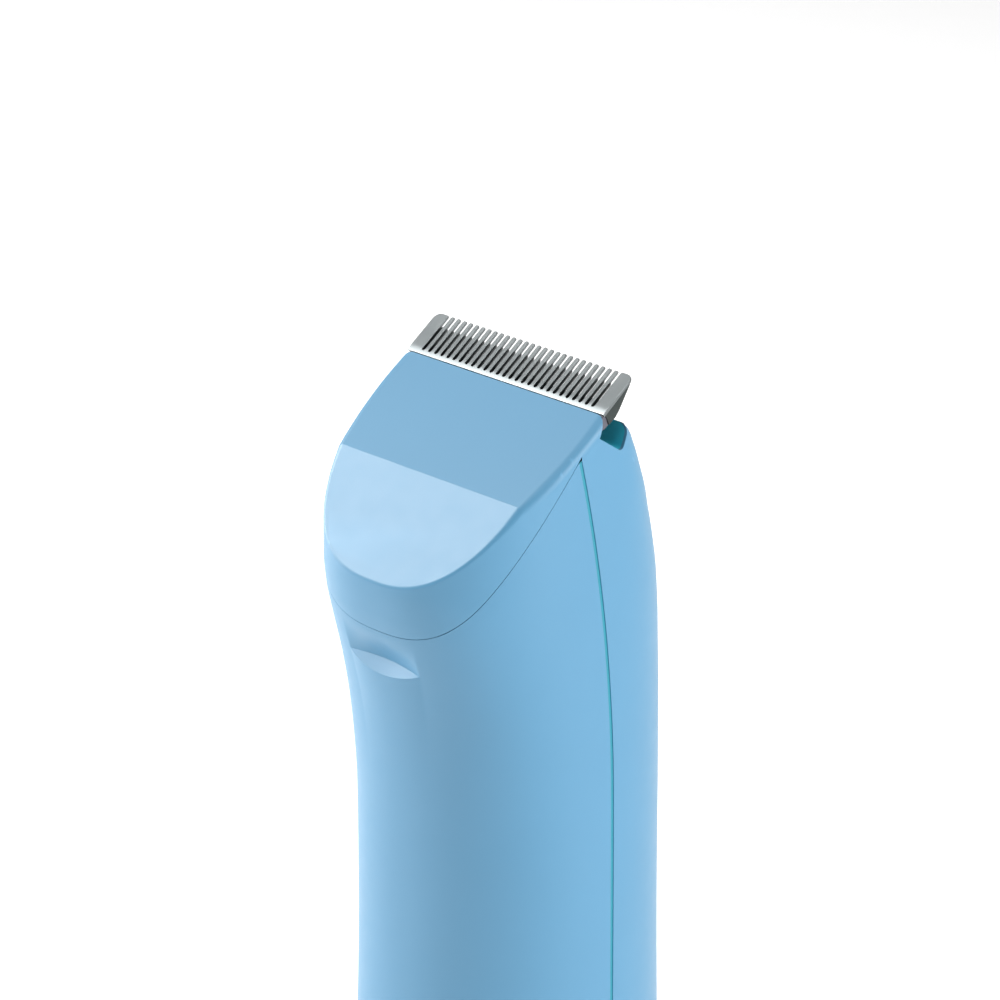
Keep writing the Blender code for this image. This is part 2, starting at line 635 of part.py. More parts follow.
def make_inner_frame(mats):
    """Chassis: a back plate, rails beside the cell, posts for the board and a shelf under the motor."""
    front = FRAME_BACK - FRAME_THICK
    frame = box("inner_frame", (-FRAME_HALF, front, 9), (FRAME_HALF, FRAME_BACK, 103.5), mats["frame_white"])
    fuse(frame, prism("shelf", rounded(FRAME_HALF - 0.5, 8.3, 3, (0, MOTOR_Y)), 103, 104.6, axis="z"))
    for side in (-1, 1):
        ends = sorted((side * 10.2, side * (FRAME_HALF - 0.3)))
        fuse(frame, box("rail", (ends[0], FRAME_BACK - 0.5, 40), (ends[1], 5, 95)))
        x = side * BOARD_SCREW_X
        fuse(frame, rod("post", (x, BOARD_BACK + 0.3, BOARD_SCREW_Z), (0, 1, 0), 2.2, 5.2, points=12))
        cut(frame, rod("pilot", (x, BOARD_BACK, BOARD_SCREW_Z), (0, 1, 0), 0.85, 4.5, points=12))
        cut(frame, rod("wire_hole", (side * 6, -9, 97), (0, 1, 0), 1.3, 8, points=12))
        cut(frame, rod("shelf_hole", (side * 6, 0.3, 101), (0, 0, 1), 1.3, 6, points=12))
    cut(frame, rod("wire_hole", (-4.2, -9, 94.6), (0, 1, 0), 1.1, 8, points=12))
    cut(frame, rod("wire_hole", (4.2, -9, 37.5), (0, 1, 0), 1.1, 8, points=12))
    for z in FRAME_SCREW_HEIGHTS:
        cut(frame, rod("screw_hole", (0, -9, z), (0, 1, 0), 1.3, 8, points=12))
    return frame


def make_battery(mats):
    rise = CELL_HIGH - CELL_LOW
    profile = ((0, 0), (CELL_RADIUS - 0.4, 0), (CELL_RADIUS, 0.4), (CELL_RADIUS, rise - 0.4),
               (CELL_RADIUS - 0.4, rise), (2.4, rise), (2.4, rise + 0.9), (0, rise + 0.9))
    turned("battery_cell", profile, (0, CELL_Y, CELL_LOW), (0, 0, 1), mats["cell_wrap"], 28)
    strip = rounded(2.4, 4.6, 1.5, (-2.2, 1.0), 3)
    prism("battery_tab_positive", strip, CELL_HIGH + 1.2, CELL_HIGH + 1.45, mats["steel"], "z")
    strip = rounded(2.4, 4.6, 1.5, (2.2, 1.0), 3)
    prism("battery_tab_negative", strip, CELL_LOW - 0.5, CELL_LOW - 0.25, mats["steel"], "z")
    box("battery_pad", (-5.5, CELL_Y + CELL_RADIUS + 0.4, 55), (5.5, 15.4, 80), mats["foam"])


# --- Fasteners and wires -----------------------------------------------------------------------

def make_screw(name, seat, axis, length, shank, head, head_height, mats):
    """Pan-head screw. The seat is under the head, and the axis points along the shank."""
    profile = ((0, -head_height), (head * 0.7, -head_height), (head, -head_height * 0.4), (head, 0),
               (shank, 0), (shank, length - shank), (shank * 0.35, length), (0, length))
    screw = turned(name, profile, seat, axis, mats["steel"], 12)
    turn = Vector((0, 0, 1)).rotation_difference(Vector(axis)).to_matrix()
    arm, half = head * 0.6, 0.22
    quarter = ((half, half), (half, arm), (-half, arm), (-half, half), (-arm, half), (-arm, -half))
    cross = quarter + tuple((-x, -y) for x, y in quarter)
    driver = prism("recess", cross, -head_height - 1, -head_height * 0.35, axis="z")
    for vert in driver.data.vertices:
        vert.co = turn @ vert.co + Vector(seat) * MM
    return cut(screw, driver)


def make_screws(mats):
    for name, z in zip(("frame_screw_lower", "frame_screw_upper"), FRAME_SCREW_HEIGHTS):
        make_screw(name, (0, FRAME_BACK - FRAME_THICK - 0.2, z), (0, 1, 0), 8.5, 0.9, 1.9, 1.3, mats)
    for side, label in ((-1, "left"), (1, "right")):
        seat = (side * BOARD_SCREW_X, BOARD_BACK - BOARD_THICK - 0.2, BOARD_SCREW_Z)
        make_screw("board_screw_" + label, seat, (0, 1, 0), 4.6, 0.7, 1.6, 1.0, mats)
        seat = on_motor(138.8, side * MOTOR_SCREW_X)
        make_screw("motor_screw_" + label, seat, (0, 0, -1), 4.6, 0.9, 1.8, 1.1, mats)
        make_screw("cap_screw_" + label, (side * CAP_SCREW_X, CAP_SCREW_Y, 1.8), (0, 0, 1),
                   13.5, 0.9, 1.9, 1.3, mats)


def make_wire(name, route, mat):
    """Insulated wire: a round tube along a smooth curve through the route's points."""
    spots = [Vector(p) for p in route]
    ends = [2 * spots[0] - spots[1]] + spots + [2 * spots[-1] - spots[-2]]
    points = []
    for a, b, c, d in zip(ends, ends[1:], ends[2:], ends[3:]):
        steps = 3
        for k in range(steps):
            t = k / steps
            points.append(0.5 * (2 * b + (c - a) * t + (2 * a - 5 * b + 4 * c - d) * t**2
                                 + (3 * b - a - 3 * c + d) * t**3))
    points.append(spots[-1])
    curve = bpy.data.curves.new(name, "CURVE")
    curve.dimensions = "3D"
    curve.bevel_depth = 0.45 * MM
    curve.bevel_resolution = 1
    curve.use_fill_caps = True
    line = curve.splines.new("POLY")
    line.points.add(len(points) - 1)
    for spot, p in zip(line.points, points):
        spot.co = (*(p * MM), 1.0)
    curve.materials.append(mat)
    bpy.context.scene.collection.objects.link(bpy.data.objects.new(name, curve))


def make_wires(mats):
    solder = BOARD_BACK + 0.6
    for side, label, mat in ((-1, "motor_wire_red", "wire_red"), (1, "motor_wire_black", "wire_black")):
        x = side * 6.0
        make_wire(label, ((x, 0.3, 104.6), (x, -0.2, 101), (x, -3.2, 98), (x, -7.2, 96), (x, -8.6, 90),
                          (x, -8.8, 78), (x, -9.2, 70), (x, solder, 67.5)), mats[mat])
    make_wire("battery_wire_red", ((-4.2, -1.4, 93.2), (-4.2, -3.4, 94.3), (-4.2, -7, 94.2), (-4.2, -8.5, 88),
                                   (-4.2, -8.7, 76), (-4.2, -9.1, 68), (-4.2, solder, 65)), mats["wire_red"])
    make_wire("battery_wire_black", ((4.2, -1.4, 41.2), (4.2, -3.2, 38.4), (4.2, -6.6, 37.4), (4.2, -8.6, 39),
                                     (4.2, solder, 43)), mats["wire_black"])


# --- Assembly ----------------------------------------------------------------------------------

def clear_scene():
    for piece in list(bpy.data.objects):
        bpy.data.objects.remove(piece)


def set_origin(name, spot):
    """Move a piece's origin to its joint's axis without moving the piece."""
    piece = bpy.data.objects[name]
    shift = Vector(spot) * MM
    piece.data.transform(Matrix.Translation(-shift))
    piece.location = shift


def make_housing(mats):
    make_rear_housing(mats)
    make_front_housing(mats)
    make_seam_gasket(mats)
    make_head_insert(mats)
    make_bottom_cap(mats)
    make_base_seal(mats)


def make_cutting_head(mats):
    make_fixed_blade(mats)
    make_moving_blade(mats)
    make_drive_fork(mats)
    make_blade_carrier(mats)
    make_blade_spring("blade_spring_left", -1, mats)
    make_blade_spring("blade_spring_right", 1, mats)


def make_drive(mats):
    make_motor_can(mats)
    make_motor_end_bell(mats)
    make_motor_magnet("motor_magnet_left", -1, mats)
    make_motor_magnet("motor_magnet_right", 1, mats)
    make_armature(mats)
    tube("motor_commutator", on_motor(107.5), (0, 0, 1), SHAFT_RADIUS + 0.15, 2.0, 3, mats["copper"], 20)
    rod("motor_shaft", on_motor(105.2), (0, 0, 1), SHAFT_RADIUS, 36.4, mats["steel"])
    make_motor_bracket(mats)
    tube("shaft_seal", on_motor(138.8), (0, 0, 1), SHAFT_RADIUS + 0.3, 3.4, 0.6, mats["rubber"])
    make_drive_cam(mats)
    rod("drive_pin", on_motor(142.6, STROKE), (0, 0, 1), PIN_RADIUS, 6.9, mats["steel"], 20)


def make_electronics(mats):
    make_circuit_board(mats)
    front = BOARD_BACK - BOARD_THICK - 0.15
    box("charge_controller", (-3, front - 1.0, 18), (3, front, 24), mats["chip_black"])
    box("charge_led", (-0.9, front - 0.9, LED_Z - 0.6), (0.9, front, LED_Z + 0.6), mats["lens"])
    rod("led_lens", (0, -19.75, LED_Z), (0, 1, 0), 1.15, 6.2, mats["lens"], 20)
    make_tact_switch(mats)
    rod("switch_plunger", (0, -14.55, BUTTON_Z), (0, 1, 0), 1.6, 1.35, mats["frame_white"], 20)
    make_power_button(mats)
    tube("button_seal", (0, -18.4, BUTTON_Z), (0, 1, 0), BUTTON_RADIUS + 0.2, BUTTON_RADIUS + 0.8, 1.0,
         mats["rubber"], 32)
    make_charging_socket(mats)
    box("socket_tongue", (-3.3, SOCKET_Y - 0.35, 1.8), (3.3, SOCKET_Y + 0.35, 7.5), mats["chip_black"])
    make_inner_frame(mats)
    make_battery(mats)


def place_joints():
    """Put the moving pieces' origins on their joints' axes."""
    for name in ("motor_shaft", "motor_armature", "motor_commutator", "drive_cam", "drive_pin"):
        set_origin(name, on_motor(139.6))
    for name in ("power_button", "switch_plunger"):
        set_origin(name, (0, -17, BUTTON_Z))
    for name in ("fixed_blade", "blade_carrier", "blade_spring_left", "blade_spring_right",
                 "moving_blade", "drive_fork"):
        set_origin(name, on_slope(0, 0, 0))


def main():
    clear_scene()
    mats = make_finishes()
    make_housing(mats)
    make_cutting_head(mats)
    make_drive(mats)
    make_electronics(mats)
    make_screws(mats)
    make_wires(mats)
    place_joints()


main()
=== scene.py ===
"""Looks of a cordless body groomer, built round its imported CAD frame.

Sizes are in millimetres and MM turns them into the frame's metres. +Z is up and the nose faces -Y.
"""

import json
from math import atan2, cos, pi, radians, sin

import bmesh
import bpy
import numpy as np
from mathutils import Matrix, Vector


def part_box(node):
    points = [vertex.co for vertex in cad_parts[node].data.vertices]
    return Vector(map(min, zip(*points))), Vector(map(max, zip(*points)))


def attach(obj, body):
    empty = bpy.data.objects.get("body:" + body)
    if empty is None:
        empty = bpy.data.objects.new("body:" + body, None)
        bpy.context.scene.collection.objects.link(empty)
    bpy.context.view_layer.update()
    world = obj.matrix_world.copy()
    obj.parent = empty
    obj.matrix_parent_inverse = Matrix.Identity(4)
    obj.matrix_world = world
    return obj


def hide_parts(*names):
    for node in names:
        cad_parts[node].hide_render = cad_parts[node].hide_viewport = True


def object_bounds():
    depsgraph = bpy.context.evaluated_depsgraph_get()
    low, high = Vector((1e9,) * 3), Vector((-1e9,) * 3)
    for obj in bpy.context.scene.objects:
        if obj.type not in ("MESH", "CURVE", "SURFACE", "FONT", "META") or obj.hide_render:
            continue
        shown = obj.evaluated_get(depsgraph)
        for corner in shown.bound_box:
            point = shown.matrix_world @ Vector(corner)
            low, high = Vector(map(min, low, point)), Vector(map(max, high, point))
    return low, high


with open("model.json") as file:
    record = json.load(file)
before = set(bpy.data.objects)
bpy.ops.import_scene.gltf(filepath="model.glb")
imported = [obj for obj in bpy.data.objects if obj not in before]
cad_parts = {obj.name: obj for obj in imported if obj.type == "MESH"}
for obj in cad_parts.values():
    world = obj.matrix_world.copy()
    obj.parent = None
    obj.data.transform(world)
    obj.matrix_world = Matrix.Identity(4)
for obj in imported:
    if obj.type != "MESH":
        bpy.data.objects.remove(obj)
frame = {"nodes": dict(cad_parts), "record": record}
START_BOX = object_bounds()
NODES = frame["nodes"]
MM = 0.001

# --- Driving dimensions of the skin --------------------------------------------------------------
# They repeat those of the CAD, but for the half width at height 28, where the CAD has 21.5. The CAD
# skin is faceted and lies just inside that curve, and 21.46 keeps the smooth skin inside its box.

HALF_WIDTH = ((0, 20.4), (6, 21.2), (28, 21.46), (70, 20.6), (100, 20.45), (125, 20.1), (156, 19.5))
FRONT_DEPTH = (
    (0, 17.6), (6, 19.0), (28, 20.2), (60, 18.9), (72, 18.2), (84, 17.9), (98, 18.0),
    (106, 18.35), (113, 18.9), (119, 19.9), (125, 21.5), (130, 22.9), (134, 23.4), (156, 23.4),
)
REAR_DEPTH = (
    (0, 17.4), (6, 18.8), (28, 20.0), (70, 18.6), (90, 18.3), (115, 18.4), (124, 18.1),
    (131, 17.1), (137, 15.3), (143, 12.7), (148, 9.4), (151, 7.4), (153, 5.9), (154.1, 4.4),
)
FRONT_POWER = ((0, 2.4), (28, 2.2), (100, 2.2), (128, 2.6), (156, 2.6))
REAR_POWER = ((0, 2.4), (28, 2.2), (120, 2.2), (140, 2.6), (154, 4.4))
ROOT_Y, ROOT_Z = -0.4, 156.0
RUN, RISE = 0.8, 0.6
FOLD_Y, FOLD_Z = -13.4, 146.25
CHIN_Y, CHIN_Z = -23.4, 134.4
SEAM_START_Z, SEAM_TOP_Z, SEAM_LEAN = 105.0, 151.2, 5.1
PARTING_SLOPE, PARTING_CURVE = 1.25, 0.0085

# --- Dimensions of the visible pieces ------------------------------------------------------------

SKIN_LOW = 3.3
SEAM_HALF, SEAM_RECESS = 0.26, 0.12
PARTING_HALF = 0.06
WALL_DEPTH = 1.5
LIP_END, LIP_FOOT, LIP_THICK, LIP_HALF = -0.16, -2.3, 1.0, 17.0
RIM_ROUND = (
    (-23.4, 0.35), (-19.5, 0.4), (-16.5, 0.6), (-13.4, 1.1), (-10, 1.45), (-5, 1.5), (-0.4, 1.9),
)
TURN_LENGTH = 4.0
LEDGE_TOP, LEDGE_HALF, LEDGE_STEP = 122.2, 7.0, 1.3
LEDGE_X, LEDGE_SWELL, LEDGE_SINK, LEDGE_FADE = -1.0, 0.35, 0.85, 11.0

BLADE_HALF, BLADE_TIP, BLADE_ROOT = 18.75, 6.5, -0.1
BLADE_FACE, ROLL_LENGTH, ROLL_DROP = 0.2, 1.1, 0.09
SLOT_COUNT, SLOT_PITCH, SLOT_WIDTH, SLOT_START = 28, 1.2, 0.6, 0.5
CUTTER_HALF, CUTTER_ROOT, CUTTER_TIP, CUTTER_TOP, CUTTER_UNDER = 16.95, 0.4, 5.0, -0.46, -0.86
CUTTER_SLOTS, CUTTER_SLOT_WIDTH, CUTTER_SLOT_START = 27, 0.5, 1.7
STEM_INNER, STEM_OUTER = 17.9, 18.5
CHEEK_INNER, CHEEK_OUTER = BLADE_HALF - 0.8, BLADE_HALF - 0.04
BUTTON_Z, BUTTON_RADIUS, BUTTON_GAP = 52.0, 6.0, 1.0
LED_Z, LED_RADIUS = 38.0, 1.5
HOLE_DEPTH = 1.8
LINER_INNER, LINER_GAP = 17.6, 0.45


# --- Skin ----------------------------------------------------------------------------------------

def curve(points):
    """A smooth function through (position, value) points that never overshoots them."""
    spots = np.array([p[0] for p in points], float)
    values = np.array([p[1] for p in points], float)
    spans = np.diff(spots)
    rates = np.diff(values) / spans
    slopes = np.zeros(len(spots))
    for i in range(1, len(spans)):
        before, after = rates[i - 1], rates[i]
        weight_a = 2 * spans[i] + spans[i - 1]
        weight_b = spans[i] + 2 * spans[i - 1]
        if before * after > 0:
            slopes[i] = (weight_a + weight_b) / (weight_a / before + weight_b / after)
    slopes[-1] = rates[-1]

    def at(x):
        x = np.clip(x, spots[0], spots[-1])
        i = np.clip(np.searchsorted(spots, x, side="right") - 1, 0, len(spans) - 1)
        t = (x - spots[i]) / spans[i]
        start = (2 * t**3 - 3 * t**2 + 1) * values[i] + (t**3 - 2 * t**2 + t) * spans[i] * slopes[i]
        end = (3 * t**2 - 2 * t**3) * values[i + 1] + (t**3 - t**2) * spans[i] * slopes[i + 1]
        return start + end

    return at


half_width = curve(HALF_WIDTH)
front_depth, rear_depth = curve(FRONT_DEPTH), curve(REAR_DEPTH)
front_power, rear_power = curve(FRONT_POWER), curve(REAR_POWER)
rim_round = curve(RIM_ROUND)


def depth_and_power(front, z):
    """Depth and roundness power of the front or back half of the skin's outline at a height."""
    depth = np.where(front, front_depth(z), rear_depth(z))
    return depth, np.where(front, front_power(z), rear_power(z))


def skin(angle, z):
    """Points of the body's skin. Angle 0 is +X and it grows towards the back, +Y."""
    angle, z = np.broadcast_arrays(angle, z)
    c, s = np.cos(angle), np.sin(angle)
    depth, power = depth_and_power(s < 0, z)
    x = half_width(z) * np.sign(c) * np.abs(c)**(2 / power)
    y = depth * np.sign(s) * np.abs(s)**(2 / power)
    return np.stack([x, y, z], axis=-1)


def angle_at(y, z):
    """Angle of the right-hand point of the skin at a depth y."""
    depth, power = depth_and_power(y < 0, z)
    return np.sign(y) * np.arcsin(np.clip(np.abs(y) / depth, 0, 1)**(power / 2))


def roundness(p):
    """1 on the skin, less inside it."""
    x, y, z = p[..., 0], p[..., 1], p[..., 2]
    depth, power = depth_and_power(y < 0, z)
    return (np.abs(x) / half_width(z))**power + (np.abs(y) / depth)**power


def unit(v):
    return v / np.maximum(np.linalg.norm(v, axis=-1, keepdims=True), 1e-12)


def skin_normal(p):
    """Outward normals at points of the skin."""
    step = 0.01
    slopes = []
    for axis in range(3):
        shift = np.zeros(3)
        shift[axis] = step
        slopes.append((roundness(p + shift) - roundness(p - shift)) / (2 * step))
    return unit(np.stack(slopes, axis=-1))


def solve(error, low, high):
    """Where error, which rises from below 0 at low to above 0 at high, is 0."""
    low, high = np.array(low, float), np.array(high, float)
    for _ in range(40):
        middle = (low + high) / 2
        over = error(middle) > 0
        high = np.where(over, middle, high)
        low = np.where(over, low, middle)
    return (low + high) / 2


def slope(u, n):
    """Side view place (y, z) of a point u along the blade's slope and n above it."""
    return (ROOT_Y + RUN * u - RISE * n, ROOT_Z + RISE * u + RUN * n)


def facet_z(y):
    """Height of the nose's two facets at a depth y."""
    upper = ROOT_Z + RISE / RUN * (y - ROOT_Y)
    lower = FOLD_Z + (FOLD_Z - CHIN_Z) / (FOLD_Y - CHIN_Y) * (y - FOLD_Y)
    return np.minimum(upper, lower)


def seam_y(z):
    """Depth of the side seam at a height: straight, then leaning to the front."""
    rise = np.clip((z - SEAM_START_Z) / (SEAM_TOP_Z - SEAM_START_Z), 0, 1)
    return -SEAM_LEAN * rise**2


def parting_z(y):
    """Height of the parting line under the nose at a depth y."""
    ahead = -SEAM_LEAN - y
    return SEAM_TOP_Z - PARTING_SLOPE * ahead - PARTING_CURVE * ahead**2


# --- Surfaces from patches -----------------------------------------------------------------------

def link_object(name, mesh, mat):
    mesh.materials.append(mat)
    piece = bpy.data.objects.new(name, mesh)
    bpy.context.scene.collection.objects.link(piece)
    return piece


class Surface:
    """A mesh put together from patches that bring their own normals."""

    def __init__(self):
        self.points, self.normals, self.faces = [], [], []
        self.count = 0

    def add(self, points, normals, faces):
        points = np.asarray(points, float).reshape(-1, 3)
        self.points.append(points)
        self.normals.append(np.asarray(normals, float).reshape(-1, 3))
        self.faces += [[self.count + i for i in face] for face in faces]
        self.count += len(points)

    def grid(self, points, normals=None, skip=None):
        """A sheet of quads. Its rows go up and its columns go anticlockwise seen from above."""
        rows, columns = points.shape[:2]
        if normals is None:
            across = np.gradient(points, axis=1, edge_order=2 if columns > 2 else 1)
            up = np.gradient(points, axis=0, edge_order=2 if rows > 2 else 1)
            normals = unit(np.cross(across, up))
        quads = []
        for i in range(rows - 1):
            for j in range(columns - 1):
                if skip is None or not skip[i, j]:
                    k = i * columns + j
                    quads.append((k, k + 1, k + columns + 1, k + columns))
        self.add(points, normals, quads)

    def make(self, name, mat, body, slot, *nodes):
        mesh = bpy.data.meshes.new(name)
        points = np.concatenate(self.points) * MM
        mesh.from_pydata(points.tolist(), [], self.faces)
        mesh.shade_smooth()
        mesh.normals_split_custom_set_from_vertices(np.concatenate(self.normals).tolist())
        return stand_for(link_object(name, mesh, mat), body, slot, *nodes)


def stand_for(piece, body, slot, *nodes):
    """Put a piece on its body, in place of some CAD nodes or none."""
    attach(piece, body)
    if nodes:
        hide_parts(*nodes)
    return piece


def strip(surface, edge, inward, facing, depths):
    """A wall that goes inward from an edge of the skin. Depths say how far each row goes."""
    rows = np.stack([edge + inward * d for d in depths])
    ring = np.broadcast_to(facing, rows.shape)
    across = np.gradient(rows, axis=1)[0]
    up = rows[1] - rows[0]
    if np.sum(np.cross(across, up) * facing) < 0:
        rows, ring = rows[::-1], ring[::-1]
    surface.grid(rows, ring)


def edge_wall(surface, edge, toward):
    """The wall of a shell at its edge. Toward points from the shell into the gap."""
    normals = skin_normal(edge)
    strip(surface, edge, -normals, unit(np.broadcast_to(toward, edge.shape)), (0, WALL_DEPTH))


# --- Materials -----------------------------------------------------------------------------------

def link(tree, source, target):
    tree.links.new(source, target)


def noise(tree, vector, scale, detail=3.0):
    node = tree.nodes.new("ShaderNodeTexNoise")
    node.inputs["Scale"].default_value = scale
    node.inputs["Detail"].default_value = detail
    link(tree, vector, node.inputs["Vector"])
    return node.outputs["Fac"]


def ranged(tree, value, low, high, start=0.3, end=0.7):
    node = tree.nodes.new("ShaderNodeMapRange")
    for name, number in (("From Min", start), ("From Max", end), ("To Min", low), ("To Max", high)):
        node.inputs[name].default_value = number
    link(tree, value, node.inputs["Value"])
    return node.outputs["Result"]


def blend_colours(tree, amount, a, b):
    node = tree.nodes.new("ShaderNodeMix")
    node.data_type = "RGBA"
    link(tree, amount, node.inputs[0])
    for socket, colour in ((node.inputs[6], a), (node.inputs[7], b)):
        if isinstance(colour, tuple):
            socket.default_value = (*colour, 1.0)
        else:
            link(tree, colour, socket)
    return node.outputs[2]


def place_texture(tree, stretch):
    coordinates = tree.nodes.new("ShaderNodeTexCoord")
    mapping = tree.nodes.new("ShaderNodeMapping")
    mapping.inputs["Scale"].default_value = stretch
    link(tree, coordinates.outputs["Object"], mapping.inputs["Vector"])
    return mapping.outputs["Vector"]


def finish(name, colour, roughness, metallic=0.0, grain=2600.0, relief=0.06, mottle=0.05, spread=0.06,
           stretch=(1, 1, 1), edge_highlight_colour=None, coat=0.0, pattern=None):
    """A surface with fine grain, slight changes of colour and gloss, and sharp edges painted lighter as a
    highlight.
    """
    mat = bpy.data.materials.new(name)
    mat.use_nodes = True
    tree = mat.node_tree
    shader = tree.nodes["Principled BSDF"]
    vector = place_texture(tree, stretch)
    dark = tuple(c * (1 - mottle) for c in colour)
    light = tuple(min(1.0, c * (1 + mottle)) for c in colour)
    tone = blend_colours(tree, ranged(tree, noise(tree, vector, 55.0), 0, 1), dark, light)
    if pattern:
        tone = pattern(tree, vector, tone)
    # Sharp convex edges, found by pointiness, blend towards a lighter colour: a painted highlight.
    painted_edge_highlight = edge_highlight_colour or tuple(min(1.0, c * 1.25 + 0.02) for c in colour)
    geometry = tree.nodes.new("ShaderNodeNewGeometry")
    edges = ranged(tree, geometry.outputs["Pointiness"], 0, 0.6, 0.54, 0.68)
    link(tree, blend_colours(tree, edges, tone, painted_edge_highlight), shader.inputs["Base Color"])
    gloss = ranged(tree, noise(tree, vector, 420.0, 5.0), roughness - spread, roughness + spread)
    link(tree, gloss, shader.inputs["Roughness"])
    bump = tree.nodes.new("ShaderNodeBump")
    bump.inputs["Strength"].default_value = relief
    bump.inputs["Distance"].default_value = 0.03 * MM
    link(tree, noise(tree, vector, grain, 2.0), bump.inputs["Height"])
    link(tree, bump.outputs["Normal"], shader.inputs["Normal"])
    shader.inputs["Metallic"].default_value = metallic
    shader.inputs["Coat Weight"].default_value = coat
    shader.inputs["Coat Roughness"].default_value = 0.3
    return mat


def bands(width, colour, axis="Z", share=0.5):
    """A pattern of stripes across an axis, for windings and printed sleeves."""
    def paint(tree, vector, tone):
        wave = tree.nodes.new("ShaderNodeTexWave")
        wave.bands_direction = axis
        wave.inputs["Scale"].default_value = pi / 10 / (width * MM)
        link(tree, vector, wave.inputs["Vector"])
        amount = ranged(tree, wave.outputs["Fac"], 0, 1, share - 0.06, share + 0.06)
        return blend_colours(tree, amount, tone, colour)
    return paint


def tracks(colour):
    """A pattern of copper tracks and pads under a board's mask."""
    def paint(tree, vector, tone):
        cells = tree.nodes.new("ShaderNodeTexVoronoi")
        cells.distance = "CHEBYCHEV"
        cells.feature = "F1"
        cells.inputs["Scale"].default_value = 420.0
        link(tree, vector, cells.inputs["Vector"])
        amount = ranged(tree, cells.outputs["Distance"], 0.75, 0, 0.22, 0.3)
        return blend_colours(tree, amount, tone, colour)
    return paint


def make_finishes():
    steel_lines = (0.06, 1, 1)
    return {
        "shell_blue": finish("shell_blue", (0.098, 0.283, 0.455), 0.4, relief=0.05, mottle=0.012,
                             spread=0.02),
        "teal": finish("teal", (0.02, 0.27, 0.36), 0.42, grain=1800, relief=0.1),
        # The steel's edges blend to near white, a painted highlight.
        "steel": finish("steel", (0.19, 0.208, 0.212), 0.34, 1.0, relief=0.03, mottle=0.03, spread=0.02,
                        stretch=steel_lines, edge_highlight_colour=(0.8, 0.82, 0.82)),
        "dark_steel": finish("dark_steel", (0.1, 0.105, 0.105), 0.36, 1.0, relief=0.05, stretch=steel_lines),
        "cheek_steel": finish("cheek_steel", (0.06, 0.07, 0.068), 0.38, 1.0, relief=0.08, mottle=0.1),
        "stem_grey": finish("stem_grey", (0.1, 0.1, 0.125), 0.45, relief=0.08),
        # A copy of the teal made much brighter: painted light for the notch liner, which lies in shade.
        "teal_with_painted_light": finish("teal_with_painted_light", (0.045, 0.5, 0.66), 0.4, grain=1800, relief=0.06),
        "carrier_grey": finish("carrier_grey", (0.07, 0.075, 0.085), 0.45, relief=0.2),
        "rubber": finish("rubber", (0.03, 0.033, 0.036), 0.7, grain=1500, relief=0.3),
        "board_green": finish("board_green", (0.02, 0.15, 0.07), 0.4, coat=0.4,
                              pattern=tracks((0.05, 0.3, 0.14))),
        "chip_black": finish("chip_black", (0.02, 0.02, 0.022), 0.55, relief=0.3),
        "frame_white": finish("frame_white", (0.6, 0.61, 0.6), 0.5, relief=0.15),
        "cell_wrap": finish("cell_wrap", (0.04, 0.12, 0.32), 0.3, coat=0.5,
                            pattern=bands(9.0, (0.5, 0.52, 0.55), share=0.9)),
        "foam": finish("foam", (0.07, 0.07, 0.075), 0.9, grain=900, relief=0.8),
        "copper": finish("copper", (0.62, 0.27, 0.13), 0.34, 1.0, pattern=bands(0.35, (0.3, 0.1, 0.04))),
        "lens": finish("lens", (0.75, 0.85, 0.8), 0.15, coat=0.6, relief=0.03),
        "wire_red": finish("wire_red", (0.45, 0.02, 0.02), 0.45, relief=0.15),
        "wire_black": finish("wire_black", (0.014, 0.014, 0.015), 0.45, relief=0.15),
    }


# --- Rear shell and head -------------------------------------------------------------------------

def notch_corner(centre, radius, start, end, steps=6):
    """Points of the round corner at the notch's bottom, between two angles in degrees."""
    angles = [radians(start + (end - start) * k / steps) for k in range(steps + 1)]
    return [(centre[0] + radius * cos(a), centre[1] + radius * sin(a)) for a in angles]


NOTCH_APEX = (-1.85, 153.35)
NOTCH_BOTTOM = notch_corner((1.72, 151.72), 0.62, 237, 334)
NOTCH_BACK = (3.61, 153.95)
CREST_END = (7.2, 151.31)
NOTCH_LOW = 148


def notch_outline():
    """The V behind the blade and everything above it, seen from the side."""
    front = [slope(LIP_END, 6), slope(LIP_END, 0), NOTCH_APEX]
    beyond = [(30, CREST_END[1]), (30, 170)]
    return front + NOTCH_BOTTOM + [NOTCH_BACK, CREST_END] + beyond


def inside(outline, y, z):
    """Whether a point is in an outline."""
    odd = False
    for (y1, z1), (y2, z2) in zip(outline, outline[1:] + outline[:1]):
        if (z1 > z) != (z2 > z) and y < y1 + (z - z1) / (z2 - z1) * (y2 - y1):
            odd = not odd
    return odd


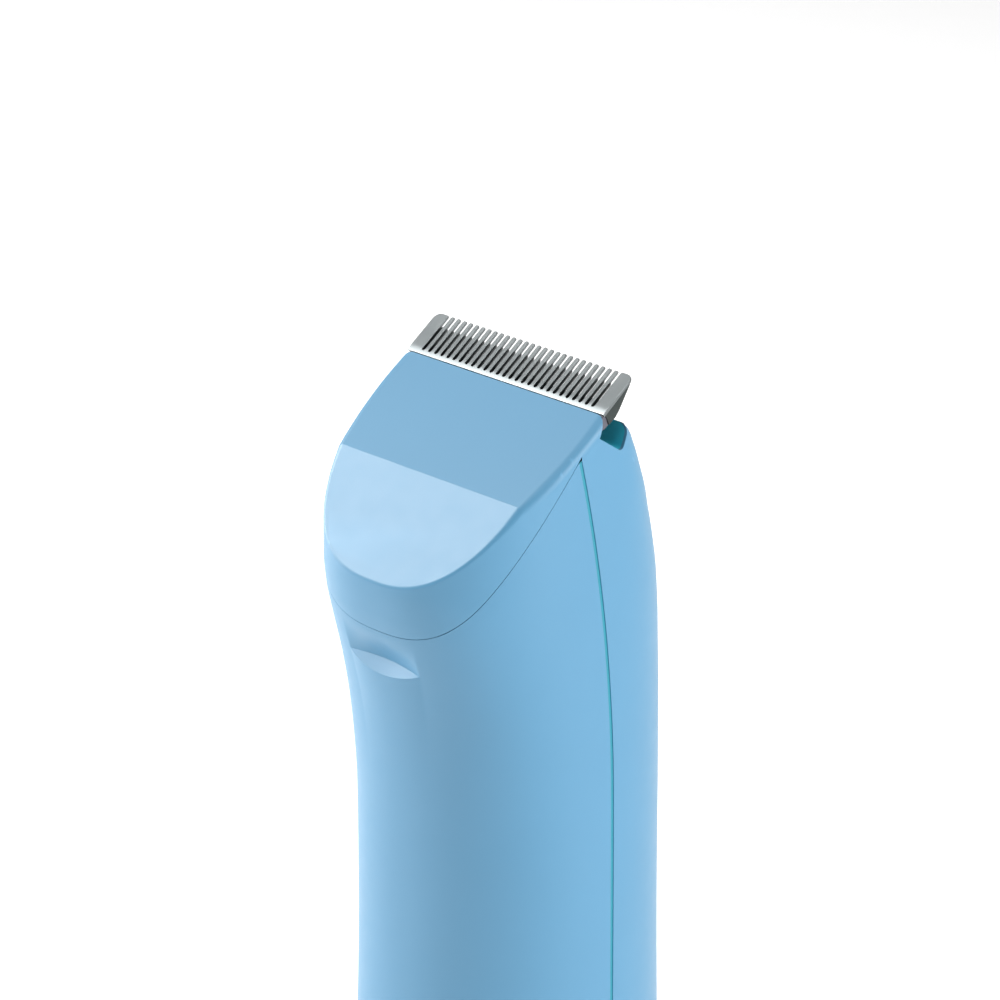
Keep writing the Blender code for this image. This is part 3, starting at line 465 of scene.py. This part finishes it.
def cut_notch(surface):
    """Trim the surface by the notch."""
    bm = bmesh.new()
    points = np.concatenate(surface.points)
    normals = np.concatenate(surface.normals)
    layer = bm.verts.layers.float_vector.new("facing")
    for p, n in zip(points, normals):
        vert = bm.verts.new(p)
        vert[layer] = n
    bm.verts.ensure_lookup_table()
    for face in surface.faces:
        bm.faces.new([bm.verts[i] for i in face])
    outline = notch_outline()
    for (y1, z1), (y2, z2) in zip(outline, outline[1:]):
        near = [f for f in bm.faces if f.calc_center_median().z > NOTCH_LOW]
        parts = near + list({e for f in near for e in f.edges}) + list({v for f in near for v in f.verts})
        across = Vector((0, z2 - z1, y1 - y2)).normalized()
        bmesh.ops.bisect_plane(bm, geom=parts, dist=1e-4, plane_co=(0, y1, z1), plane_no=across)
    gone = []
    for face in bm.faces:
        middle = face.calc_center_median()
        if inside(outline, middle.y, middle.z):
            gone.append(face)
    bmesh.ops.delete(bm, geom=gone, context="FACES")
    bm.verts.index_update()
    surface.points = [np.array([v.co for v in bm.verts])]
    surface.normals = [unit(np.array([v[layer] for v in bm.verts]))]
    surface.faces = [[v.index for v in f.verts] for f in bm.faces]
    surface.count = len(bm.verts)
    bm.free()


def back_angles(z, share):
    """Angles from the right seam round the back to the left seam."""
    start = angle_at(seam_y(z) + SEAM_HALF, z)
    return start + share * (pi - 2 * start)


def head_angles(count):
    """Angles from left to right round the nose, with one at each end of the fold."""
    edge = angle_at(-SEAM_LEAN + SEAM_HALF, SEAM_TOP_Z)
    fold = angle_at(FOLD_Y, FOLD_Z)
    side = np.linspace(edge, fold, count // 4)
    front = np.linspace(fold, -pi - fold, count)
    return np.concatenate([side, front[1:-1], (-pi - side)[::-1]])[::-1]


def rim_points(angle):
    """Where the skin ends below the rim, the rim's sharp edge, and where the facet starts."""
    def rim_error(z):
        return z - facet_z(skin(angle, z)[..., 1])
    edge = skin(angle, solve(rim_error, np.full_like(angle, 120.0), np.full_like(angle, 162.0)))
    radius = rim_round(edge[:, 1])

    def start_error(z):
        return rim_error(z) + radius
    start = skin(angle, solve(start_error, np.full_like(angle, 115.0), np.full_like(angle, 161.0)))
    inward = np.zeros_like(edge)
    inward[:, 0] = -np.sign(edge[:, 0])
    along = unit(np.gradient(edge, axis=0))
    steep = atan2(FOLD_Z - CHIN_Z, FOLD_Y - CHIN_Y)
    square = unit(np.cross(np.array([0, -sin(steep), cos(steep)]), along))
    share = np.clip((FOLD_Y - edge[:, 1]) / TURN_LENGTH, 0, 1)[:, None]
    inward = unit(inward * (1 - share) + square * share)
    return start, edge, edge + inward * radius[:, None]


def facet_normal(y):
    """Normal of the facet at a depth y."""
    steep = (FOLD_Z - CHIN_Z) / (FOLD_Y - CHIN_Y)
    lower = (np.asarray(y) < FOLD_Y - 1e-4)[..., None]
    return np.where(lower, unit(np.array([0, -steep, 1.0])), np.array([0, -RISE, RUN]))


def add_rim(surface, angle, lower):
    """The rounded rim along some angles, and the facet's outline that it leaves."""
    start, edge, end = rim_points(angle)
    rise = facet_normal(np.full(len(angle), FOLD_Y - 1.0 if lower else FOLD_Y + 1.0))
    side = skin_normal(start)
    steps = np.linspace(0, 1, 9)
    rows = [(1 - t)**2 * start + 2 * t * (1 - t) * edge + t**2 * end for t in steps]
    normals = [unit((1 - t) * side + t * rise) for t in steps]
    surface.grid(np.stack(rows), np.stack(normals))
    return end


def add_facet(surface, outline, normal):
    surface.add(outline, np.broadcast_to(normal, (len(outline), 3)), [list(range(len(outline)))])


def make_rear_shell(mats):
    """Back of the handle with the head: chin, rim, two facets and notch."""
    surface = Surface()
    # Back of the handle and of the head, from seam to seam.
    share = np.linspace(0, 1, 181)[None, :]

    def top_error(z):
        y = skin(back_angles(z, share[0]), z)[..., 1]
        return z - np.minimum(facet_z(y) - rim_round(y), 157.0)
    top = solve(top_error, np.full(181, 140.0), np.full(181, 160.0))
    rise = np.linspace(0, 1, 241)[:, None]
    z = SKIN_LOW + rise * (top[None, :] - SKIN_LOW)
    back = skin(back_angles(z, share), z)
    surface.grid(back, skin_normal(back))
    # Chin and sides of the nose, from the parting line up to the rim.
    angle = head_angles(160)

    def line_error(z):
        return z - parting_z(skin(angle, z)[..., 1]) - PARTING_HALF
    low = solve(line_error, np.full_like(angle, 115.0), np.full_like(angle, 158.0))
    high = rim_points(angle)[0][:, 2]
    z = low[None, :] + np.linspace(0, 1, 41)[:, None] * (high - low)[None, :]
    nose = skin(angle[None, :], z)
    surface.grid(nose, skin_normal(nose))
    # Rim and facets.
    fold = float(angle_at(FOLD_Y, FOLD_Z))
    root = float(angle_at(1.2, 157.0))
    front = np.linspace(-pi - fold, fold, 201)
    lower = add_rim(surface, front, True)
    add_facet(surface, lower, facet_normal(CHIN_Y))
    right = add_rim(surface, np.linspace(fold, root, 61), False)
    left = add_rim(surface, np.linspace(-pi - root, -pi - fold, 61), False)
    add_facet(surface, np.concatenate([left, right]), facet_normal(0.0))
    cut_notch(surface)
    # Walls along the seams and the parting line.
    heights = np.linspace(SKIN_LOW, SEAM_TOP_Z, 201)
    for side in (-1, 1):
        edge = skin(back_angles(heights, 0.0), heights)
        edge[:, 0] *= side
        edge_wall(surface, edge, (0, -1, 0))
    edge_wall(surface, skin(angle, low), (0, 0.5, -1))
    add_notch_walls(surface)
    return surface.make("rear_shell", mats["shell_blue"], "housing", "shell_blue", "rear_housing")


def dense(outline, step=0.12):
    """More points along an outline."""
    points = []
    for (y1, z1), (y2, z2) in zip(outline, outline[1:]):
        count = max(1, int(((y2 - y1)**2 + (z2 - z1)**2)**0.5 / step))
        points += [(y1 + (y2 - y1) * k / count, z1 + (z2 - z1) * k / count) for k in range(count)]
    return np.array(points + [outline[-1]])


def side_x(y, z):
    """Half width of the skin at a place in the side view."""
    depth, power = depth_and_power(y < 0, z)
    return half_width(z) * np.clip(1 - (np.abs(y) / depth)**power, 0, 1)**(1 / power)


def add_notch_walls(surface):
    """Wall of the shell round the notch at each side, the lip under the blade, and the crest."""
    path = dense([slope(LIP_END, 0), NOTCH_APEX] + NOTCH_BOTTOM + [NOTCH_BACK])
    along = np.gradient(path, axis=0)
    facing = unit(np.stack([np.zeros(len(path)), -along[:, 1], along[:, 0]], axis=-1))
    radius = rim_round(path[:, 0])
    below = np.clip((facet_z(path[:, 0]) - path[:, 1]) / radius, 0, 1)
    x = side_x(path[:, 0], path[:, 1]) - radius * (1 - below**0.5)**2
    for side in (-1, 1):
        edge = np.stack([side * x, path[:, 0], path[:, 1]], axis=-1)
        strip(surface, edge, np.array([-side, 0, 0]), facing, (0, 0.5))
    lip = dense([slope(LIP_END, 0.0), slope(LIP_END, -LIP_THICK), slope(LIP_FOOT, -LIP_THICK)])
    half = np.full(len(lip), LIP_HALF)
    rows = np.stack([np.stack([s * half, lip[:, 0], lip[:, 1]], axis=-1) for s in (-1, 1)], axis=1)
    surface.grid(rows[::-1])
    crest = dense([NOTCH_BACK, CREST_END])
    half = side_x(crest[:, 0], crest[:, 1])
    rows = np.stack([np.stack([s * half, crest[:, 0], crest[:, 1]], axis=-1) for s in (-1, 1)], axis=1)
    surface.grid(rows)


# --- Front shell, seam and notch liner -----------------------------------------------------------

def ledge_width(x):
    """Share of the thumb ledge's full height at x: 1 in its middle and 0 at its ends."""
    return np.clip(1 - ((x - LEDGE_X) / LEDGE_HALF)**2, 0, 1)


def front_angles(z, share):
    """Angles from the left seam round the front to the right seam."""
    end = angle_at(seam_y(z) - SEAM_HALF, z)
    return (-pi - end) + share * (pi + 2 * end)


def press(points, amount):
    """Points of the skin moved out by an amount, or in where it is negative."""
    return points + skin_normal(points) * amount[..., None]


def snap_hole(points, radius, z):
    """Faces to leave out for a round hole, after the points next to it have moved onto its edge."""
    away = np.hypot(points[..., 0], points[..., 2] - z)
    ahead = points[..., 1] < 0
    inner = (away < radius) & ahead
    gone = inner[:-1, :-1] & inner[1:, :-1] & inner[:-1, 1:] & inner[1:, 1:]
    used = np.zeros(inner.shape, bool)
    kept = ~gone
    for di in (0, 1):
        for dj in (0, 1):
            used[di:di + kept.shape[0], dj:dj + kept.shape[1]] |= kept
    for i, j in np.argwhere(inner & used):
        grow = radius / away[i, j]
        points[i, j, 0] *= grow
        points[i, j, 2] = z + (points[i, j, 2] - z) * grow
        points[i, j, 1] = front_y(points[i, j, 0], points[i, j, 2])
    return gone


def front_y(x, z):
    """Depth of the skin's front at x and z."""
    power = front_power(z)
    return -front_depth(z) * (1 - (np.abs(x) / half_width(z))**power)**(1 / power)


def hole_wall(surface, radius, z):
    """Wall of a round hole in the front."""
    turn = np.linspace(0, 2 * pi, 97)
    x, height = radius * np.cos(turn), z + radius * np.sin(turn)
    edge = np.stack([x, front_y(x, height), height], axis=-1)
    facing = np.stack([-np.cos(turn), np.zeros_like(turn), -np.sin(turn)], axis=-1)
    strip(surface, edge, np.array([0, 1.0, 0]), facing, (0, HOLE_DEPTH))


def make_front_shell(mats):
    """Front of the handle under the parting line, with the thumb ledge and two holes."""
    surface = Surface()
    columns = 221
    share = np.linspace(0, 1, columns)

    def top_error(z):
        return z - parting_z(skin(front_angles(z, share), z)[..., 1]) + PARTING_HALF
    top = solve(top_error, np.full(columns, 110.0), np.full(columns, 153.0))
    across = skin(front_angles(np.full(columns, LEDGE_TOP), share), LEDGE_TOP)[:, 0]
    width = ledge_width(across)
    foot = LEDGE_TOP - LEDGE_STEP * width - 0.01
    # Below the ledge the skin swells a little, and above it is sunk by as much.
    rise = np.linspace(0, 1, 261)[:, None]**0.8
    z = SKIN_LOW + rise * (foot - SKIN_LOW)
    low = skin(front_angles(z, share), z)
    swell = LEDGE_SWELL * LEDGE_STEP * width * np.exp(-((foot - z) / LEDGE_FADE)**2)
    low = press(low, swell)
    normals = unit(np.cross(np.gradient(low, axis=1, edge_order=2), np.gradient(low, axis=0, edge_order=2)))
    holes = ((BUTTON_RADIUS + BUTTON_GAP, BUTTON_Z), (LED_RADIUS, LED_Z))
    skip = snap_hole(low, *holes[0]) | snap_hole(low, *holes[1])
    surface.grid(low, normals, skip)
    rise = np.linspace(0, 1, 81)[:, None]
    z = LEDGE_TOP + rise * (top - LEDGE_TOP)
    high = skin(front_angles(z, share), z)
    fade = np.clip((z - LEDGE_TOP) / (top - LEDGE_TOP - 0.3), 0, 1)
    high = press(high, -LEDGE_SINK * LEDGE_STEP * width * (1 - fade**2 * (3 - 2 * fade)))
    surface.grid(high)
    ledge = np.stack([low[-1], high[0]])
    surface.grid(ledge, np.stack([ledge_normal(ledge)] * 2))
    # Walls at the edges.
    heights = np.linspace(SKIN_LOW, top[-1], 201)
    for end in (0.0, 1.0):
        edge_wall(surface, skin(front_angles(heights, end), heights), (0, 1, 0))
    edge_wall(surface, high[-1], (0, -0.5, 1))
    for radius, height in holes:
        hole_wall(surface, radius, height)
    return surface.make("front_shell", mats["shell_blue"], "housing", "shell_blue", "front_housing")


def ledge_normal(rows):
    """Normals of the ledge's face between its lower and upper edge."""
    across = np.gradient(rows[0], axis=0)
    return unit(np.cross(across, rows[1] - rows[0] + np.array([0, 1e-6, 1e-6])))


def make_seam_strip(mats):
    """Teal line along both sides, a little below the skin."""
    surface = Surface()
    heights = np.linspace(SKIN_LOW, SEAM_TOP_Z + 0.1, 241)[:, None]
    offset = np.linspace(-1.5, 1.5, 7)[None, :] * SEAM_HALF
    y = seam_y(heights) + offset
    points = skin(angle_at(y, heights), heights)
    points = press(points, np.full(points.shape[:2], -SEAM_RECESS))
    surface.grid(points)
    surface.grid((points * np.array([-1, 1, 1]))[:, ::-1])
    return surface.make("seam_strip", mats["teal"], "housing", "teal", "seam_gasket")


def make_notch_liner(mats):
    """Teal lining of the notch, open where the cutting head plugs in, in a teal brightened as painted light.
    """
    surface = Surface()
    back = dense(NOTCH_BOTTOM + [NOTCH_BACK])
    front = dense([NOTCH_APEX, NOTCH_BOTTOM[0]])
    for path, inner in ((back, 0.0), (front, LINER_INNER)):
        half = side_x(path[:, 0], path[:, 1]) - LINER_GAP
        for side in (-1, 1):
            near, far = side * half, np.full(len(path), side * inner)
            low, high = (near, far) if side < 0 else (far, near)
            x = np.stack([low, (low + high) / 2, high], axis=1)
            y = np.repeat(path[:, :1], 3, axis=1)
            z = np.repeat(path[:, 1:], 3, axis=1)
            surface.grid(np.stack([x, y, z], axis=-1))
    return surface.make("notch_liner", mats["teal_with_painted_light"], "housing", "teal", "head_insert")


# --- Blades --------------------------------------------------------------------------------------

def round_edges(piece, width, segments=2, angle=40):
    bevel = piece.modifiers.new("round_edges", "BEVEL")
    bevel.width = width * MM
    bevel.segments = segments
    bevel.limit_method = "ANGLE"
    bevel.angle_limit = radians(angle)
    bevel.use_clamp_overlap = True
    bevel.harden_normals = True


def comb_outline(half, root, tip, slots, width, start, corner, tooth):
    """Outline of a comb in (x, u), with round slot ends and tapered teeth."""
    points = [(half, root)]
    for k in range(7):
        a = k / 6 * pi / 2
        points.append((half - corner + corner * cos(a), tip - corner + corner * sin(a)))
    radius = width / 2
    for k in range(slots):
        x = ((slots - 1) / 2 - k) * SLOT_PITCH
        points += [(x + radius + tooth, tip), (x + radius, tip - 2.5 * tooth), (x + radius, start + radius)]
        for step in range(1, 6):
            a = -step / 6 * pi
            points.append((x + radius * cos(a), start + radius + radius * sin(a)))
        points += [(x - radius, start + radius), (x - radius, tip - 2.5 * tooth), (x - radius - tooth, tip)]
    for k in range(7):
        a = pi / 2 + k / 6 * pi / 2
        points.append((-half + corner + corner * cos(a), tip - corner + corner * sin(a)))
    points.append((-half, root))
    return points


def slanted_comb(name, outline, top, under, loops, mat):
    """A comb plate on the blade's slope. Top and under give its faces' heights at each u."""
    bm = bmesh.new()
    bm.faces.new([bm.verts.new((x, u, 0)) for x, u in outline])
    for u in loops:
        geometry = list(bm.verts) + list(bm.edges) + list(bm.faces)
        bmesh.ops.bisect_plane(bm, geom=geometry, dist=1e-5, plane_co=(0, u, 0), plane_no=(0, 1, 0))
    lid = list(bm.faces)
    made = bmesh.ops.extrude_face_region(bm, geom=lid)
    upper = {v for v in made["geom"] if isinstance(v, bmesh.types.BMVert)}
    for vert in bm.verts:
        x, u = vert.co.x, vert.co.y
        y, z = slope(u, top(u) if vert in upper else under(u))
        vert.co = Vector((x, y, z)) * MM
    bmesh.ops.recalc_face_normals(bm, faces=bm.faces)
    mesh = bpy.data.meshes.new(name)
    bm.to_mesh(mesh)
    bm.free()
    mesh.shade_smooth()
    mesh.set_sharp_from_angle(angle=radians(30))
    return link_object(name, mesh, mat)


def blade_top(u):
    """The plate is flat, and rolls down to its root."""
    rest = min(1.0, max(0.0, (u - BLADE_ROOT) / ROLL_LENGTH))
    return BLADE_FACE - ROLL_DROP * (1 - rest)**2


def side_plate(name, outline, side, inner, outer, mat):
    """A plate at one end of the blade, from its outline (u, n) in the side view."""
    bm = bmesh.new()
    rings = []
    for x in (side * inner, side * outer):
        rings.append([bm.verts.new(Vector((x, *slope(u, n))) * MM) for u, n in outline])
    for k in range(len(outline)):
        j = (k + 1) % len(outline)
        bm.faces.new((rings[0][k], rings[0][j], rings[1][j], rings[1][k]))
    bm.faces.new(rings[0])
    bm.faces.new(rings[1])
    bmesh.ops.recalc_face_normals(bm, faces=bm.faces)
    mesh = bpy.data.meshes.new(name)
    bm.to_mesh(mesh)
    bm.free()
    mesh.shade_smooth()
    mesh.set_sharp_from_angle(angle=radians(30))
    return link_object(name, mesh, mat)


CHEEK = ((0.0, -0.12), (5.35, -0.12), (5.55, -0.25), (2.3, -1.55), (1.2, -1.85), (-0.2, -1.8), (0.1, -0.8))
STEM = ((0.3, -0.14), (-0.02, -0.14), (-1.95, -1.1), (-1.75, -1.5), (-0.9, -1.88), (0.9, -1.88))


def make_comb_blade(mats):
    """The comb plate, the wedge at each end of it, and the feet that go into the notch."""
    outline = comb_outline(BLADE_HALF, BLADE_ROOT, BLADE_TIP, SLOT_COUNT, SLOT_WIDTH, SLOT_START, 1.1, 0.1)
    loops = (0.05, 0.2, 0.35, 0.5, 0.65, 0.8, 0.95, 1.1, 1.3, 1.5)
    blade = slanted_comb("comb_blade", outline, blade_top, lambda u: -0.3 + 0.03 * u, loops, mats["steel"])
    round_edges(blade, 0.045)
    stand_for(blade, "cutting_head", "steel", "fixed_blade")
    for side, label in ((-1, "left"), (1, "right")):
        cheek = side_plate("cheek_" + label, CHEEK, side, CHEEK_INNER, CHEEK_OUTER, mats["cheek_steel"])
        round_edges(cheek, 0.1, 3)
        stand_for(cheek, "cutting_head", "dark_steel")
        stem = side_plate("stem_" + label, STEM, side, STEM_INNER, STEM_OUTER, mats["stem_grey"])
        round_edges(stem, 0.12, 3)
        stand_for(stem, "cutting_head", "carrier_grey")


def make_cutter(mats):
    """The moving comb under the blade, whose teeth show in the blade's slots."""
    outline = comb_outline(CUTTER_HALF, CUTTER_ROOT, CUTTER_TIP, CUTTER_SLOTS, CUTTER_SLOT_WIDTH,
                           CUTTER_SLOT_START, 0.3, 0.12)
    cutter = slanted_comb("cutter_comb", outline, lambda u: CUTTER_TOP, lambda u: CUTTER_UNDER, (),
                          mats["dark_steel"])
    round_edges(cutter, 0.03)
    stand_for(cutter, "cutter", "dark_steel", "moving_blade")


# --- Button --------------------------------------------------------------------------------------

# Depth of the button's front at each radius: a shallow dish, a rim, and a round edge.
KEY_PROFILE = (
    (0, 0.42), (1.5, 0.36), (3.6, 0.1), (4.6, 0.06), (5.4, 0.3), (5.8, 0.62), (BUTTON_RADIUS, 1.1),
)


def make_power_key(mats):
    """Round button with a shallow dish."""
    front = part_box("power_button")[0].y / MM
    profile = curve(KEY_PROFILE)
    radius = np.concatenate([np.linspace(0.01, 5.2, 40), np.linspace(5.3, BUTTON_RADIUS, 14)])
    depth = profile(radius)
    radius = np.append(radius, [BUTTON_RADIUS, BUTTON_RADIUS])
    depth = np.append(depth, [2.0, 4.6])
    turn = np.linspace(0, 2 * pi, 121)
    x = radius[:, None] * np.cos(turn)[None, :]
    z = BUTTON_Z + radius[:, None] * np.sin(turn)[None, :]
    y = np.repeat((front + depth)[:, None], len(turn), axis=1)
    surface = Surface()
    surface.grid(np.stack([x, y, z], axis=-1)[::-1])
    return surface.make("power_key", mats["shell_blue"], "button", "shell_blue", "power_button")


# --- Carried-over nodes --------------------------------------------------------------------------

def dress_nodes(mats):
    """Give every CAD node its finish."""
    slots = {row["node"]: row["material_slot"] for row in frame["record"]["subparts"]}
    for name, node in NODES.items():
        node.data.materials.clear()
        node.data.materials.append(mats[slots[name]])


# --- Studio --------------------------------------------------------------------------------------

AZIMUTH, ELEVATION, DISTANCE, LENS = 48.0, 19.05, 0.624, 175.0
AIM_X, AIM_Y, BELOW_TOP = 3.3, -4.1, 18.46
BOX_DISTANCE = 1.1
SOFT_BOXES = (
    # Name, azimuth and elevation in degrees, width and height in metres, power in watts.
    ("left_low_box", -75, 12, 0.45, 0.55, 9.5),
    ("left_high_box", -55, 38, 0.45, 0.55, 8.5),
    ("right_box", 100, 25, 0.45, 1.1, 12.6),
    ("top_box", 25, 72, 0.6, 0.6, 2.0),
)
WORLD_STRENGTH, FLOOR_GLOW = 0.1, 0.34
FLOOR_HALF, FLOOR_REACH, FLOOR_BEND, FLOOR_RISE = 4.5, 3.0, 1.2, 2.4


def toward(azimuth, elevation):
    """Unit vector from the object towards a place round it. Azimuth 0 is -Y and 90 is +X."""
    a, e = radians(azimuth), radians(elevation)
    return Vector((sin(a) * cos(e), -cos(a) * cos(e), sin(e)))


def make_camera(aim):
    data = bpy.data.cameras.new("camera")
    data.lens = LENS
    data.sensor_width = 36.0
    camera = bpy.data.objects.new("camera", data)
    bpy.context.scene.collection.objects.link(camera)
    back = toward(AZIMUTH, ELEVATION)
    camera.location = aim + back * DISTANCE
    camera.rotation_mode = "QUATERNION"
    camera.rotation_quaternion = (-back).to_track_quat("-Z", "Y")
    bpy.context.scene.camera = camera


def softbox(aim, name, azimuth, elevation, width, height, power):
    data = bpy.data.lights.new(name, "AREA")
    data.shape = "RECTANGLE"
    data.size, data.size_y = width, height
    data.energy = power
    lamp = bpy.data.objects.new(name, data)
    bpy.context.scene.collection.objects.link(lamp)
    back = toward(azimuth, elevation)
    lamp.location = aim + back * BOX_DISTANCE
    lamp.rotation_mode = "QUATERNION"
    lamp.rotation_quaternion = (-back).to_track_quat("-Z", "Y")


def make_floor():
    """Pale paper floor that curves up behind the object, and glows a little so that it looks white."""
    mesh = bpy.data.meshes.new("studio_floor")
    turns = [k * pi / 24 for k in range(1, 13)]
    bend = [(FLOOR_REACH + FLOOR_BEND * sin(a), FLOOR_BEND * (1 - cos(a))) for a in turns]
    top = (FLOOR_REACH + FLOOR_BEND, FLOOR_BEND + FLOOR_RISE)
    profile = [(-FLOOR_REACH, 0.0), (FLOOR_REACH, 0.0)] + bend + [top]
    points = [(x, y, z) for x in (-FLOOR_HALF, FLOOR_HALF) for y, z in profile]
    count = len(profile)
    faces = [(k, k + count, k + count + 1, k + 1) for k in range(count - 1)]
    mesh.from_pydata(points, [], faces)
    mesh.shade_smooth()
    floor = bpy.data.objects.new("studio_floor", mesh)
    bpy.context.scene.collection.objects.link(floor)
    paper = finish("paper", (0.93, 0.93, 0.93), 0.8, mottle=0.004, grain=400, relief=0.02)
    glow = paper.node_tree.nodes["Principled BSDF"].inputs
    glow["Emission Color"].default_value = (1.0, 1.0, 1.0, 1.0)
    glow["Emission Strength"].default_value = FLOOR_GLOW
    mesh.materials.append(paper)


def make_studio():
    scene = bpy.context.scene
    scene.view_settings.view_transform = "Standard"
    world = bpy.data.worlds.new("studio")
    world.use_nodes = True
    sky = world.node_tree.nodes["Background"]
    sky.inputs["Color"].default_value = (1.0, 1.0, 1.0, 1.0)
    sky.inputs["Strength"].default_value = WORLD_STRENGTH
    scene.world = world
    aim = Vector((AIM_X, AIM_Y, START_BOX[1].z / MM - BELOW_TOP)) * MM
    make_camera(aim)
    for row in SOFT_BOXES:
        softbox(aim, *row)
    make_floor()


def build():
    mats = make_finishes()
    dress_nodes(mats)
    make_rear_shell(mats)
    make_front_shell(mats)
    make_seam_strip(mats)
    make_notch_liner(mats)
    make_comb_blade(mats)
    make_cutter(mats)
    make_power_key(mats)
    make_studio()


build()
